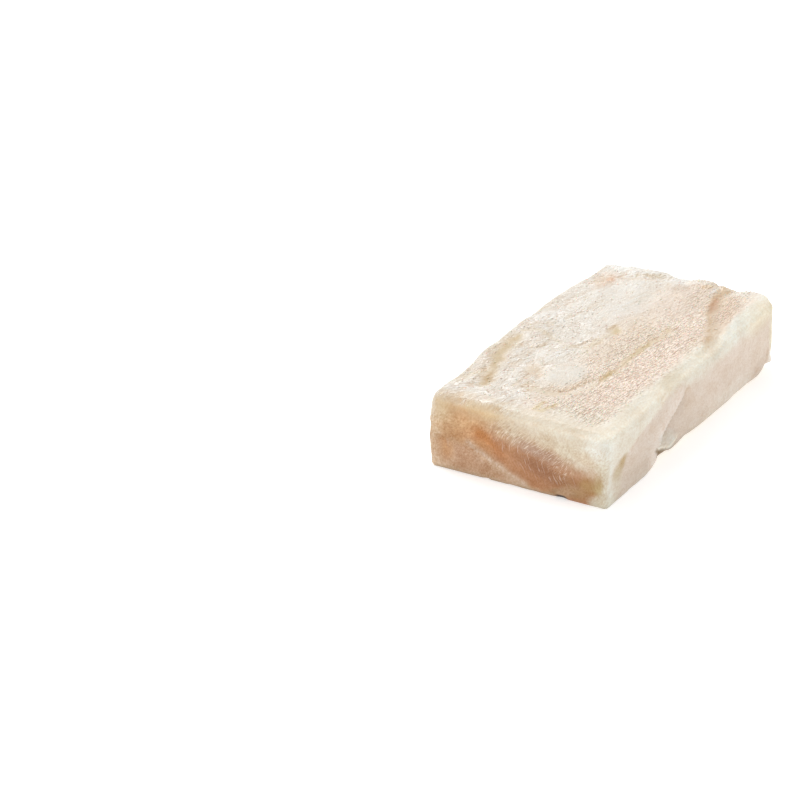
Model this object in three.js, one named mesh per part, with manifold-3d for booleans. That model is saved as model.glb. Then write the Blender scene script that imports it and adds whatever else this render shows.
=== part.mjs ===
// One frozen portion of white fish fillet, sawn from a pressed block of fillets: a flat loaf with
// four cut walls and a top that keeps the fillets' own seams, dents and lumps.
// Millimetres, +Z up, +X along the length, origin at the centre of the flat base.
// The end wall at -X and the long wall at -Y are the ones that carry the clearest marks.

import * as THREE from "three";
import { mergeVertices } from "three/addons/utils/BufferGeometryUtils.js";
import Module from "manifold-3d";

// Driving sizes of the loaf between its saw cuts
const LENGTH = 105;
const WIDTH = 55;
const THICKNESS = 22.5;
const HALF_LENGTH = LENGTH / 2;
const HALF_WIDTH = WIDTH / 2;

// Cells of the surface grid along the length, the width and the height
const CELLS_LONG = 74;
const CELLS_WIDE = 38;
const CELLS_HIGH = 11;

// The loaf is made this much deeper than it is and then cut flat, which leaves a true plane to rest on
const BASE_ALLOWANCE = 0.6;

// How far the rounding of each edge reaches across the top and down the wall
const TOP_ROUNDING = {
  nearEnd: { across: 2.8, down: 3.2 },
  farEnd: { across: 2.2, down: 2.4 },
  rightWall: { across: 5.2, down: 4.6 },
  leftWall: { across: 2.2, down: 2.2 },
};
const BASE_ROUNDING = { across: 1.2, down: 1.8 };
// How far down from the top and up from the table those roundings take over from the corners' radius,
// and the share of that radius that is left at the table
const TOP_ZONE = 7;
const BASE_ZONE = 4;
const BASE_CORNER_SHARE = 0.6;
// Radius of each upright corner
const CORNER_RADIUS = { nearRight: 2.0, farRight: 2.4, farLeft: 6.5, nearLeft: 2.6 };
// The loaf is a little out of square: how far each upright corner stands off in x and y, and the top
// over it in z
const CORNER_SHIFT = {
  x: { nearRight: 0, farRight: 1.2, farLeft: 0, nearLeft: -0.9 },
  y: { nearRight: 0, farRight: -0.8, farLeft: 0, nearLeft: 0.6 },
  z: { nearRight: 0, farRight: 1, farLeft: 0.2, nearLeft: 0.1 },
};

// Seams in the top, where two fillets meet: a route in x and y, the depth and half-width of the
// groove, and how much lower the fillet on the right of the route lies
const TOP_SEAMS = [
  { route: [[-40, 18.2], [-31, 21.1], [-20, 23.8], [-6, 24.6]], depth: 0.9, halfWidth: 1.7, drop: 0 },
  { route: [[-33, -7.4], [-16, -8.5], [9, -10.2], [20, -11]], depth: 0.5, halfWidth: 1.5, drop: 0.15 },
  {
    route: [[8, -27.5], [14.5, -25], [25, -20.4], [35, -16.2], [54, -9.6]],
    depth: 1.15,
    halfWidth: 1.7,
    drop: 0.35,
  },
  {
    route: [[34, 24], [40, 21.6], [43.4, 19.4], [45, 14.5], [46.5, 7], [54, 2.2]],
    depth: 0.75,
    halfWidth: 1.6,
    drop: -0.25,
  },
  { route: [[-37, 5], [-35.5, -2], [-31.5, -6.4], [-26, -7.6]], depth: 0.4, halfWidth: 1.8, drop: 0 },
];

// Lumps and dents of the top: middle, half-lengths along and across, turn in degrees, and rise
const TOP_SWELLS = [
  { at: [-25, 0.6], reach: [8.5, 7], turn: 10, rise: 0.55 },
  { at: [-24.5, 10.8], reach: [3.2, 5], turn: -20, rise: -0.45 },
  { at: [8.6, 2.3], reach: [3.6, 2.8], turn: 15, rise: -0.5 },
  { at: [-2.5, 4.2], reach: [4.4, 3], turn: -25, rise: -0.4 },
  { at: [-47, 13], reach: [6, 8], turn: 0, rise: 0.4 },
  { at: [-12, 23], reach: [22, 8], turn: 3, rise: 0.9 },
  { at: [22, 22], reach: [16, 9], turn: -3, rise: 0.7 },
  { at: [49, -5], reach: [4, 4.2], turn: 0, rise: 0.7 },
  { at: [50.5, -12.5], reach: [3, 2.6], turn: 20, rise: 0.6 },
  { at: [44, -23], reach: [12, 7], turn: 10, rise: 0.8 },
  { at: [51, 12], reach: [4, 9], turn: 0, rise: 0.8 },
  { at: [0, -17], reach: [30, 8], turn: -3, rise: 0.25 },
];

// The flap on the right wall: its free edge in x and z, how deep the wall falls back behind it and
// over what width, the length over which the wall comes out again, and the height and width of its lip
const FLAP = {
  edge: [[-3, 18.5], [-7.5, 15.6], [-13, 12.3], [-19.6, 8.6], [-22.6, 5.4], [-23.5, 2]],
  step: 1.15,
  stepWidth: 1,
  recovery: 11,
  lip: 0.3,
  lipWidth: 2.5,
  fadeLength: 5,
};
// The crease nearer the end on the same wall, and how much the wall falls in below it, how soon and
// how far down
const WALL_CREASE = {
  route: [[-50, 9.5], [-45, 12.5], [-36, 13.2], [-26, 15.8], [-15, 19.5]],
  depth: 0.35,
  halfWidth: 1.2,
  fall: 0.4,
  fallWidth: 1.5,
  fallReach: 7,
};
// Where the lower edge of the right wall stands clear of the table: middle, height, and the reach
// before and after the middle
const LIFTS = [
  { at: -21.2, height: 2.6, before: 1.8, after: 8 },
  { at: 51.5, height: 1.5, before: 3.2, after: 8 },
  { at: 12, height: 1.3, before: 28, after: 26 },
];
const LIFT_REACH_IN = 5;
const LIFT_REACH_UP = 8;

// Seams that come out on the other three walls, each as a route on that wall
const END_SEAM = {
  route: [[27, 12], [15, 11.6], [4, 7.5], [-8, 4.2], [-24, 3.2]],
  depth: 0.3,
  halfWidth: 1.6,
  drop: 0,
};
const BACK_SEAM = {
  route: [[-24, 9], [-12, 12.5], [3, 11], [14, 7.5], [24, 8.2]],
  depth: 0.4,
  halfWidth: 1.6,
  drop: 0.1,
};
const LEFT_SEAM = {
  route: [[-46, 8.5], [-30, 11.5], [-8, 9.2], [16, 12.8], [38, 10.2]],
  depth: 0.45,
  halfWidth: 1.5,
  drop: 0.15,
};

// How far the left wall bows out along its length, and how far each wall bulges at mid-height
const LEFT_BOW = 0.6;
const LEFT_BULGE = 0.7;
const END_BULGE = 0.6;
const BACK_BULGE = 0.5;

// Uneven surface: the size across and height of the lumps at each scale. On the top they are drawn
// out along the fillets' muscle, which runs a little askew of the length.
const LUMPS = [
  { across: 19, height: 0.9 },
  { across: 8, height: 0.85 },
  { across: 4.2, height: 0.55 },
];
const LUMP_STRETCH = 1.9;
const MUSCLE_ANGLE = THREE.MathUtils.degToRad(-7);
// A sawn wall is this share as uneven as the top
const WALL_UNEVENNESS = 0.3;

// Points closer than this are one point
const MERGE_DISTANCE = 1e-4;

const FISH_COLOUR = 0xeadfcd;
const FISH_ROUGHNESS = 0.55;

function smooth(from, to, value) {
  const t = Math.min(1, Math.max(0, (value - from) / (to - from)));
  return t * t * (3 - 2 * t);
}

function bell(distance, halfWidth) {
  return Math.exp(-((distance / halfWidth) ** 2));
}

// The nearest distance from a point to a route of straight steps, which side of it the point is on
// (positive on the right), and a fade that runs to 0 past either end
function nearRoute(a, b, route, fadeLength = 4) {
  let best = { distance: Infinity, side: 0, past: 0 };
  for (let i = 0; i + 1 < route.length; i++) {
    const [a0, b0] = route[i];
    const [a1, b1] = route[i + 1];
    const stepA = a1 - a0;
    const stepB = b1 - b0;
    const along = ((a - a0) * stepA + (b - b0) * stepB) / (stepA ** 2 + stepB ** 2);
    const t = Math.min(1, Math.max(0, along));
    const offA = a - a0 - t * stepA;
    const offB = b - b0 - t * stepB;
    const distance = Math.hypot(offA, offB);
    if (distance < best.distance) {
      const before = i === 0 ? -along : 0;
      const after = i + 2 === route.length ? along - 1 : 0;
      const past = Math.max(before, after, 0) * Math.hypot(stepA, stepB);
      best = { distance, side: Math.sign(stepB * offA - stepA * offB), past };
    }
  }
  return { ...best, fade: 1 - smooth(0, fadeLength, best.past) };
}

// A repeatable number from 0 to 1 for a point of a lattice
function latticeValue(i, j, k, layer) {
  const mixed = Math.sin(i * 127.1 + j * 311.7 + k * 74.7 + layer * 53.3) * 43758.5453;
  return mixed - Math.floor(mixed);
}

// Smooth lumps of about one unit across, from -0.5 to 0.5
function lumps(x, y, z, layer) {
  const corner = [Math.floor(x), Math.floor(y), Math.floor(z)];
  const share = [smooth(0, 1, x - corner[0]), smooth(0, 1, y - corner[1]), smooth(0, 1, z - corner[2])];
  let sum = 0;
  for (let n = 0; n < 8; n++) {
    const step = [n & 1, (n >> 1) & 1, n >> 2];
    const weight = step.reduce((product, s, axis) => product * (s ? share[axis] : 1 - share[axis]), 1);
    sum += weight * latticeValue(corner[0] + step[0], corner[1] + step[1], corner[2] + step[2], layer);
  }
  return sum - 0.5;
}

// The uneven surface at a point, where up is 1 on the top and 0 on a wall
function unevenness(point, up) {
  const along = point.x * Math.cos(MUSCLE_ANGLE) + point.y * Math.sin(MUSCLE_ANGLE);
  const across = point.y * Math.cos(MUSCLE_ANGLE) - point.x * Math.sin(MUSCLE_ANGLE);
  let rise = 0;
  LUMPS.forEach(({ across: size, height }, layer) => {
    rise += height * lumps(along / (size * LUMP_STRETCH), across / size, point.z / size, layer);
  });
  return rise * (WALL_UNEVENNESS + (1 - WALL_UNEVENNESS) * up);
}

function seamRelief(a, b, seam) {
  const near = nearRoute(a, b, seam.route);
  const groove = -seam.depth * bell(near.distance, seam.halfWidth);
  const drop = seam.drop * (near.side > 0 ? -1 : 1) * bell(near.distance, seam.halfWidth * 4);
  return near.fade * (groove + drop * smooth(0, seam.halfWidth, near.distance));
}

function swellRelief(x, y, swell) {
  const turn = THREE.MathUtils.degToRad(swell.turn);
  const dx = x - swell.at[0];
  const dy = y - swell.at[1];
  const along = (dx * Math.cos(turn) + dy * Math.sin(turn)) / swell.reach[0];
  const across = (dy * Math.cos(turn) - dx * Math.sin(turn)) / swell.reach[1];
  return swell.rise * (1 - smooth(0.55, 1.25, Math.hypot(along, across)));
}

function topRelief(x, y) {
  const seams = TOP_SEAMS.reduce((sum, seam) => sum + seamRelief(x, y, seam), 0);
  return TOP_SWELLS.reduce((sum, swell) => sum + swellRelief(x, y, swell), seams);
}

function rightWallRelief(x, z) {
  const flap = nearRoute(x, z, FLAP.edge, FLAP.fadeLength);
  const behind = flap.side < 0 ? flap.distance : 0;
  const fall = -FLAP.step * smooth(0, FLAP.stepWidth, behind) * Math.exp(-behind / FLAP.recovery);
  const lip = flap.side < 0 ? 0 : FLAP.lip * bell(flap.distance, FLAP.lipWidth);
  const crease = nearRoute(x, z, WALL_CREASE.route);
  const below = crease.side > 0 ? crease.distance : 0;
  const fallen = smooth(0, WALL_CREASE.fallWidth, below) * bell(below, WALL_CREASE.fallReach);
  const under = WALL_CREASE.fall * fallen;
  const line = WALL_CREASE.depth * bell(crease.distance, WALL_CREASE.halfWidth);
  return (fall + lip) * flap.fade - (under + line) * crease.fade;
}

// Blends what is given for the four upright corners over the plan, by how far along and how far left
function blendCorners(corners, far, left) {
  const right = (1 - far) * corners.nearRight + far * corners.farRight;
  return (1 - left) * right + left * ((1 - far) * corners.nearLeft + far * corners.farLeft);
}

// Radii of the rounding at a point of the plain box, as reaches along x, y and z. The upright corners'
// own radius gives way to the top's rounding near the top and to the base's near the table.
function localRounding(x, y, z) {
  const far = smooth(-HALF_LENGTH, HALF_LENGTH, x);
  const left = smooth(-HALF_WIDTH, HALF_WIDTH, y);
  const upright = blendCorners(CORNER_RADIUS, far, left);
  const high = smooth(THICKNESS - TOP_ZONE, THICKNESS, z);
  const low = 1 - smooth(0, BASE_ZONE, z);
  const end = x < 0 ? TOP_ROUNDING.nearEnd : TOP_ROUNDING.farEnd;
  const side = y < 0 ? TOP_ROUNDING.rightWall : TOP_ROUNDING.leftWall;
  const onEnd = smooth(0.75, 1, Math.abs(x) / HALF_LENGTH);
  const onSide = smooth(0.7, 1, Math.abs(y) / HALF_WIDTH) + 1e-6;
  const down = (onSide * side.down + onEnd * end.down) / (onEnd + onSide);
  const atBase = Math.max(BASE_ROUNDING.across, upright * BASE_CORNER_SHARE);
  const across = (atTop) => upright * (1 - high - low) + atTop * high + atBase * low;
  return [across(end.across), across(side.across), z > THICKNESS / 2 ? down : BASE_ROUNDING.down];
}

function roundBox(x, y, z) {
  const [rx, ry, rz] = localRounding(x, y, z);
  const coreX = THREE.MathUtils.clamp(x, rx - HALF_LENGTH, HALF_LENGTH - rx);
  const coreY = THREE.MathUtils.clamp(y, ry - HALF_WIDTH, HALF_WIDTH - ry);
  const coreZ = THREE.MathUtils.clamp(z, rz - BASE_ALLOWANCE, THICKNESS - rz);
  const out = new THREE.Vector3((x - coreX) / rx, (y - coreY) / ry, (z - coreZ) / rz).normalize();
  const point = new THREE.Vector3(coreX + rx * out.x, coreY + ry * out.y, coreZ + rz * out.z);
  return { point, out };
}

// How far the loaf's lack of square moves a point
function cornerShift(point) {
  const far = THREE.MathUtils.clamp(point.x / LENGTH + 0.5, 0, 1);
  const left = THREE.MathUtils.clamp(point.y / WIDTH + 0.5, 0, 1);
  const height = smooth(0, THICKNESS, point.z);
  return new THREE.Vector3(
    blendCorners(CORNER_SHIFT.x, far, left),
    blendCorners(CORNER_SHIFT.y, far, left),
    blendCorners(CORNER_SHIFT.z, far, left) * height,
  );
}

// The lower edge of the right wall and the strip of base beside it rise clear of the table
function liftUnderRightWall(point) {
  const fromWall = point.y + HALF_WIDTH;
  const inward = 1 - smooth(0.5, LIFT_REACH_IN, fromWall);
  const upward = 1 - smooth(0, LIFT_REACH_UP, point.z);
  let lift = 0;
  for (const { at, height, before, after } of LIFTS) {
    lift += height * bell(point.x - at, point.x < at ? before : after);
  }
  return lift * inward * upward;
}

function shapePoint(x, y, z) {
  const { point, out } = roundBox(x, y, z);
  const up = smooth(-0.1, 0.65, out.z);
  const right = smooth(0.1, 0.8, -out.y);
  const left = smooth(0.1, 0.8, out.y);
  const near = smooth(0.1, 0.8, -out.x);
  const far = smooth(0.1, 0.8, out.x);
  const lengthwise = Math.cos((Math.PI * point.x) / (LENGTH * 1.05));
  const crosswise = Math.cos((Math.PI * point.y) / (WIDTH * 1.1));
  const upright = Math.sin((Math.PI * Math.min(Math.max(point.z, 0), THICKNESS)) / THICKNESS);
  let rise = up * topRelief(point.x, point.y);
  rise += right * rightWallRelief(point.x, point.z);
  rise += near * (seamRelief(point.y, point.z, END_SEAM) + END_BULGE * upright);
  rise += far * (seamRelief(point.y, point.z, BACK_SEAM) + BACK_BULGE * upright * crosswise);
  rise += left * (seamRelief(point.x, point.z, LEFT_SEAM) + LEFT_BOW * lengthwise);
  rise += left * LEFT_BULGE * upright;
  rise += unevenness(point, up);
  point.addScaledVector(out, rise * (1 - smooth(0.2, 0.8, -out.z)));
  point.add(cornerShift(point));
  point.z += liftUnderRightWall(point);
  return point;
}

// The plain box's surface grid with every point moved to its place
function shapedLoaf() {
  const depth = THICKNESS + BASE_ALLOWANCE;
  const box = new THREE.BoxGeometry(LENGTH, WIDTH, depth, CELLS_LONG, CELLS_WIDE, CELLS_HIGH);
  box.deleteAttribute("normal");
  box.deleteAttribute("uv");
  const loaf = mergeVertices(box, MERGE_DISTANCE);
  const place = loaf.getAttribute("position");
  for (let i = 0; i < place.count; i++) {
    const z = place.getZ(i) + THICKNESS / 2 - BASE_ALLOWANCE / 2;
    const point = shapePoint(place.getX(i), place.getY(i), z);
    place.setXYZ(i, point.x, point.y, point.z);
  }
  return loaf;
}

function toSolid(wasm, geometry) {
  const mesh = new wasm.Mesh({
    numProp: 3,
    vertProperties: new Float32Array(geometry.getAttribute("position").array),
    triVerts: new Uint32Array(geometry.index.array),
  });
  return new wasm.Manifold(mesh);
}

function toGeometry(solid) {
  const mesh = solid.getMesh();
  return new THREE.BufferGeometry()
    .setAttribute("position", new THREE.BufferAttribute(new Float32Array(mesh.vertProperties), 3))
    .setIndex(new THREE.BufferAttribute(new Uint32Array(mesh.triVerts), 1));
}

// Takes off everything below z = 0
function cutFlat(wasm, loaf) {
  const slab = new THREE.BoxGeometry(LENGTH * 2, WIDTH * 2, THICKNESS);
  slab.translate(0, 0, -THICKNESS / 2);
  slab.deleteAttribute("normal");
  slab.deleteAttribute("uv");
  return toGeometry(toSolid(wasm, loaf).subtract(toSolid(wasm, mergeVertices(slab, MERGE_DISTANCE))));
}

// Moves the solid so that the middle of its outline in x and y is the origin
function centreOnBase(geometry) {
  geometry.computeBoundingBox();
  const { min, max } = geometry.boundingBox;
  geometry.translate(-(min.x + max.x) / 2, -(min.y + max.y) / 2, -min.z);
  return geometry;
}

const wasm = await Module();
wasm.setup();

const fish = new THREE.MeshStandardMaterial({ color: FISH_COLOUR, roughness: FISH_ROUGHNESS, metalness: 0 });
const portion = new THREE.Mesh(centreOnBase(cutFlat(wasm, shapedLoaf())), fish);
portion.name = "pollock_portion";

const group = new THREE.Group();
group.add(portion);

export default group;
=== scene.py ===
# One frozen portion of white fish fillet on a pale table, in soft studio light: a saw-cut loaf with
# seams, a flap, tan marks, frost and a thin glaze. The loaf's form is worked out in millimetres, in
# the frame of the plain loaf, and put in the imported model's frame in metres at the end.
import math

import bpy
import numpy as np
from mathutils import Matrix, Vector


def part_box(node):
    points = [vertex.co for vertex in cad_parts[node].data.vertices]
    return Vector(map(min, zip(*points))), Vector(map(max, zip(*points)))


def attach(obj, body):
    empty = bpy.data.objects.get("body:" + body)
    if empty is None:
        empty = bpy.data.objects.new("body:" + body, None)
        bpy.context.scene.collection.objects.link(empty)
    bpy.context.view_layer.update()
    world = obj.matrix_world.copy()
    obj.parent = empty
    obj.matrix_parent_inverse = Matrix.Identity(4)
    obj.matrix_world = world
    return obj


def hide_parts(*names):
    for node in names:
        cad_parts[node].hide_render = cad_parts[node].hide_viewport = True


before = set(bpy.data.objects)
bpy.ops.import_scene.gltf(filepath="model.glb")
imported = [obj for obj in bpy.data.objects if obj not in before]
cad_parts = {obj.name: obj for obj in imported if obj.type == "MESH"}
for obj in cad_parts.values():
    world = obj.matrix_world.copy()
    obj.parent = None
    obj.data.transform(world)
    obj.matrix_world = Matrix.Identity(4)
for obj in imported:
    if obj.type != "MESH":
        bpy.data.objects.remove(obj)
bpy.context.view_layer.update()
node_low, node_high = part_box("pollock_portion")

MM = 0.001

# The plain loaf
LENGTH = 105.0
WIDTH = 55.0
THICKNESS = 22.5
HALF_LENGTH = LENGTH / 2
HALF_WIDTH = WIDTH / 2
BASE_ALLOWANCE = 0.6

# Cells of the surface along the length, the width and the height, and the rings of the base
CELLS_LONG = 330
CELLS_WIDE = 172
CELLS_HIGH = 36
BASE_RINGS = (0.7, 1.7, 3.2, 5.6)

# How far the rounding of each edge reaches across the top and down the wall
TOP_ROUNDING = {
    "near_end": (2.8, 3.2),
    "far_end": (2.2, 2.4),
    "right_wall": (5.2, 4.6),
    "left_wall": (2.2, 2.2),
}
BASE_ROUNDING = (1.2, 1.8)
TOP_ZONE = 7.0
BASE_ZONE = 4.0
BASE_CORNER_SHARE = 0.6

# Upright corners in the order near right, far right, far left, near left
CORNER_RADIUS = (2.0, 2.4, 6.5, 2.6)
CORNER_SHIFT = {"x": (0, 1.2, 0, -0.9), "y": (0, -0.8, 0, 0.6), "z": (0, 1, 0.2, 0.1)}

# Routes of the seams and creases, in x and y on the top, x and z on the long walls, y and z on the ends
LEFT_GROOVE = ((-40, 18.2), (-31, 21.1), (-20, 23.8), (-9, 24.6))
MIDDLE_SEAM = ((-22, -9), (-19, -9.2), (-12, -9.6), (-3, -9.5), (6, -10.5), (17, -11.4))
BACK_GROOVE = (
    (11, -27),
    (13.6, -25.8),
    (22.8, -21.6),
    (30.4, -18.5),
    (38.8, -15.6),
    (48, -12.9),
    (54, -11.8),
)
CORNER_CREASE = ((34, 24), (40, 21.6), (43.4, 19.4), (45, 14.5), (46.5, 7), (54, 2.2))
GROOVE_FORK = ((-31, 21.1), (-38, 25), (-44, 26))
PLATEAU_FOOT = ((-36, 5), (-35, -2.5), (-32.5, -6.5), (-25.5, -7.4))
PLATEAU_SIDE = ((-24, 12.5), (-29.5, 10.4), (-35.2, 8.2), (-36, 5))
END_SCRATCHES = (((-48, -4), (-41.4, -5.2)), ((-47.5, -2.2), (-41.9, -2)))
CROSS_TRACE = ((-6, 25), (-3, 20.6), (-4.2, 16), (-7.6, 9), (-4.5, 3.8), (3, 2.6), (9, 1.8))
FLAP_EDGE = ((-7.5, 15.6), (-13, 12.3), (-19.6, 8.6), (-22.6, 5.4), (-23.5, 2))
WALL_CREASE = ((-50, 9.5), (-45, 12.5), (-36, 13.2), (-26, 15.8), (-15, 19.5))
END_SEAM = ((27, 12), (15, 11.6), (4, 7.5), (-8, 4.2), (-24, 3.2))
BACK_SEAM = ((-24, 9), (-12, 12.5), (3, 11), (14, 7.5), (24, 8.2))
LEFT_SEAM = ((-46, 8.5), (-30, 11.5), (-8, 9.2), (16, 12.8), (38, 10.2))

# Grooves: route, depth, half-width, and how much lower the right-hand side lies
TOP_SEAMS = (
    (LEFT_GROOVE, 0.28, 2.2, 0.0),
    (MIDDLE_SEAM, 0.12, 0.8, 0.12),
    (BACK_GROOVE, 0.25, 1.8, 0.2),
    (CORNER_CREASE, 0.25, 1.6, -0.1),
    (PLATEAU_FOOT, 0.16, 1.9, -0.25),
)
END_GROOVE = (END_SEAM, 0.3, 1.6, 0)
FAR_GROOVE = (BACK_SEAM, 0.4, 1.6, 0.1)
LEFT_WALL_GROOVE = (LEFT_SEAM, 0.45, 1.5, 0.15)
LIP_SHARE = 0.2
# Lumps and dents of the top: middle, half-lengths along and across, turn in degrees, and rise
TOP_SWELLS = (
    ((-25, 0.6), (7.6, 6.4), 10, 0.5),
    ((-24.8, 10.6), (3.2, 4.6), -20, -0.35),
    ((8.6, 2.3), (3.4, 2.2), 15, -0.35),
    ((-2.5, 4.2), (4.4, 2.6), -25, -0.4),
    ((-47, 13), (6, 8), 0, 0.4),
    ((-12, 23), (22, 8), 3, 0.9),
    ((22, 22), (16, 9), -3, 0.7),
    ((49, -5), (4, 4.2), 0, 0.7),
    ((50.5, -12.5), (3, 2.6), 20, 0.6),
    ((44, -23), (12, 7), 10, 0.8),
    ((51, 12), (4, 9), 0, 0.8),
    ((0, -17), (30, 8), -3, 0.25),
)
# The white lens of flesh that shows under the flap, as a swell of the right wall
LENS = ((-15.5, 5.2), (7.5, 2.6), -16, 0.55)
# The step down behind the flap's edge, how far behind it the wall recovers, and the edge's raised lip
FLAP_STEP = 1.5
FLAP_STEP_WIDTH = 0.45
FLAP_RECOVERY = 11.0
FLAP_LIP = 0.35
FLAP_LIP_WIDTH = 2.2
FLAP_FADE = 5.0
# The crease of that wall: the fall below it, with its depth, width and reach, and the cut along it
CREASE_FALL = (0.4, 1.5, 7)
CREASE_CUT = (0.35, 1.2)
# Where the lower edge of the right wall stands clear of the table: place, height, and reach before and after
LIFTS = (
    (-21.2, 2.6, 3.1, 8),
    (-6, 1.0, 6, 9),
    (36, 0.9, 9, 12),
    (49.3, 2.3, 3.2, 6),
    (12, 1.3, 28, 26),
)
LIFT_REACH_IN = 5.0
LIFT_REACH_UP = 8.0
# A small gap under the near end: its place, height and reach
END_GAP = (-13.5, 0.3, 1.9)
# How ragged the lower edge is, and how far the walls bow and bulge
BASE_RAGGEDNESS = 0.75
LEFT_BOW = 0.6
LEFT_BULGE = 0.7
END_BULGE = 0.6
BACK_BULGE = 0.5

# Lumps of the surface: size across and height
LUMPS = ((19, 0.9), (8, 0.85), (4.2, 0.55))
LUMP_STRETCH = 1.9
MUSCLE_ANGLE = math.radians(-7)
WALL_UNEVENNESS = 0.3

# The view: where it looks on the table, how far off it stands, and the angles round and above
VIEW_POINT = (-22.1, 55.9, 0.0)
VIEW_DISTANCE = 1026.2
VIEW_AZIMUTH = -59.57
VIEW_ELEVATION = 26.32
LENS_LENGTH = 157.5
SENSOR_WIDTH = 36.0


def smooth(start, end, value):
    t = np.clip((value - start) / (end - start), 0.0, 1.0)
    return t * t * (3 - 2 * t)


def bell(distance, half_width):
    return np.exp(-((distance / half_width) ** 2))


def mix(first, second, share):
    return first * (1 - share) + second * share


def near_route(a, b, route, fade_length=4.0):
    """Distance to a route of straight steps, the side of it (1 on the right), and a fade past its ends."""
    best = np.full(a.shape, np.inf)
    side = np.zeros(a.shape)
    past = np.zeros(a.shape)
    last = len(route) - 2
    for i, ((a0, b0), (a1, b1)) in enumerate(zip(route, route[1:])):
        step_a, step_b = a1 - a0, b1 - b0
        along = ((a - a0) * step_a + (b - b0) * step_b) / (step_a**2 + step_b**2)
        t = np.clip(along, 0, 1)
        off_a, off_b = a - a0 - t * step_a, b - b0 - t * step_b
        distance = np.hypot(off_a, off_b)
        nearer = distance < best
        before = -along if i == 0 else np.zeros(a.shape)
        after = along - 1 if i == last else np.zeros(a.shape)
        over = np.maximum(np.maximum(before, after), 0) * math.hypot(step_a, step_b)
        best = np.where(nearer, distance, best)
        side = np.where(nearer, np.sign(step_b * off_a - step_a * off_b), side)
        past = np.where(nearer, over, past)
    return best, side, 1 - smooth(0, fade_length, past)


def lattice_value(i, j, k, layer):
    mixed = np.sin(i * 127.1 + j * 311.7 + k * 74.7 + layer * 53.3) * 43758.5453
    return mixed - np.floor(mixed)


def lumps(x, y, z, layer):
    """Smooth lumps of about one unit across, from -0.5 to 0.5."""
    corner = [np.floor(v) for v in (x, y, z)]
    share = [smooth(0, 1, v - c) for v, c in zip((x, y, z), corner)]
    total = np.zeros(np.broadcast(x, y, z).shape)
    for n in range(8):
        step = (n & 1, (n >> 1) & 1, n >> 2)
        weight = np.ones(total.shape)
        for s, part in zip(step, share):
            weight = weight * (part if s else 1 - part)
        total += weight * lattice_value(*(c + s for c, s in zip(corner, step)), layer)
    return total - 0.5


# Where the rim of a spot begins and ends, as shares of its reach
FULL = (0.55, 1.25)
FIRM = (0.4, 1.3)
SOFT = (0.3, 1.3)
FAINT = (0.2, 1.3)
HAZY = (0.2, 1.4)


def ellipse(a, b, at, reach, turn, soft=FULL):
    """1 inside an ellipse and 0 outside it, with a soft rim."""
    angle = math.radians(turn)
    da, db = a - at[0], b - at[1]
    along = (da * math.cos(angle) + db * math.sin(angle)) / reach[0]
    across = (db * math.cos(angle) - da * math.sin(angle)) / reach[1]
    return 1 - smooth(*soft, np.hypot(along, across))


def blend_corners(values, far, left):
    near_right, far_right, far_left, near_left = values
    return (1 - left) * mix(near_right, far_right, far) + left * mix(near_left, far_left, far)


def wobble(x, y, z, *steps):
    """The point moved about by smooth lumps, so that what is drawn on it has an uneven outline."""
    for size, reach, layer in steps:
        shift = [reach * lumps(x / size, y / size, z / size, layer + k) * 2 for k in range(3)]
        x, y, z = x + shift[0], y + shift[1], z + shift[2]
    return x, y, z


def top_outline(x, y):
    """Where on the top's drawing a point lies, so that relief and colour have one ragged outline."""
    level = np.zeros(x.shape)
    for step in ((8, 0.8, 20), (2.4, 0.5, 23), (0.9, 0.2, 26)):
        x, y, _ = wobble(x, y, level, step)
    return x, y


# The loaf's form


def seam_relief(a, b, seam):
    """A flat-bottomed groove with a lip on either side, and one side of it lower than the other."""
    route, depth, half_width, drop = seam
    distance, side, fade = near_route(a, b, route)
    groove = -depth * smooth(1.5, 0.5, distance / half_width)
    lip = LIP_SHARE * depth * bell(distance - 1.75 * half_width, 0.45 * half_width)
    lower = drop * np.where(side > 0, -1, 1) * bell(distance, half_width * 4)
    return fade * (groove + lip + lower * smooth(0, half_width, distance))


def cream_border(x):
    """Where the right edge's cream begins, and how soft that border is: crisp beyond the back groove."""
    beyond = smooth(12, 20, x)
    return mix(-22.5, -24.6, beyond), mix(2.0, 0.8, beyond)


def top_relief(x, y):
    x, y = top_outline(x, y)
    rise = sum(seam_relief(x, y, seam) for seam in TOP_SEAMS)
    for at, reach, turn, height in TOP_SWELLS:
        rise = rise + height * ellipse(x, y, at, reach, turn, (0.6, 1.15))
    return rise


def right_wall_relief(x, z):
    distance, side, fade = near_route(x, z, FLAP_EDGE, FLAP_FADE)
    behind = np.where(side < 0, distance, 0)
    fall = -FLAP_STEP * smooth(0, FLAP_STEP_WIDTH, behind) * np.exp(-behind / FLAP_RECOVERY)
    lip = np.where(side < 0, 0, FLAP_LIP * bell(distance, FLAP_LIP_WIDTH))
    off_crease, crease_side, crease_fade = near_route(x, z, WALL_CREASE)
    below = np.where(crease_side > 0, off_crease, 0)
    fall_depth, fall_width, fall_reach = CREASE_FALL
    cut_depth, cut_width = CREASE_CUT
    crease = fall_depth * smooth(0, fall_width, below) * bell(below, fall_reach)
    crease = crease + cut_depth * bell(off_crease, cut_width)
    at, reach, turn, height = LENS
    return (fall + lip) * fade - crease * crease_fade + height * ellipse(x, z, at, reach, turn)


def unevenness(point, up):
    x, y, z = point.T
    along = x * math.cos(MUSCLE_ANGLE) + y * math.sin(MUSCLE_ANGLE)
    across = y * math.cos(MUSCLE_ANGLE) - x * math.sin(MUSCLE_ANGLE)
    rise = 0.0
    for layer, (size, height) in enumerate(LUMPS):
        rise = rise + height * lumps(along / (size * LUMP_STRETCH), across / size, z / size, layer)
    return rise * mix(WALL_UNEVENNESS, 1, up)


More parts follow.
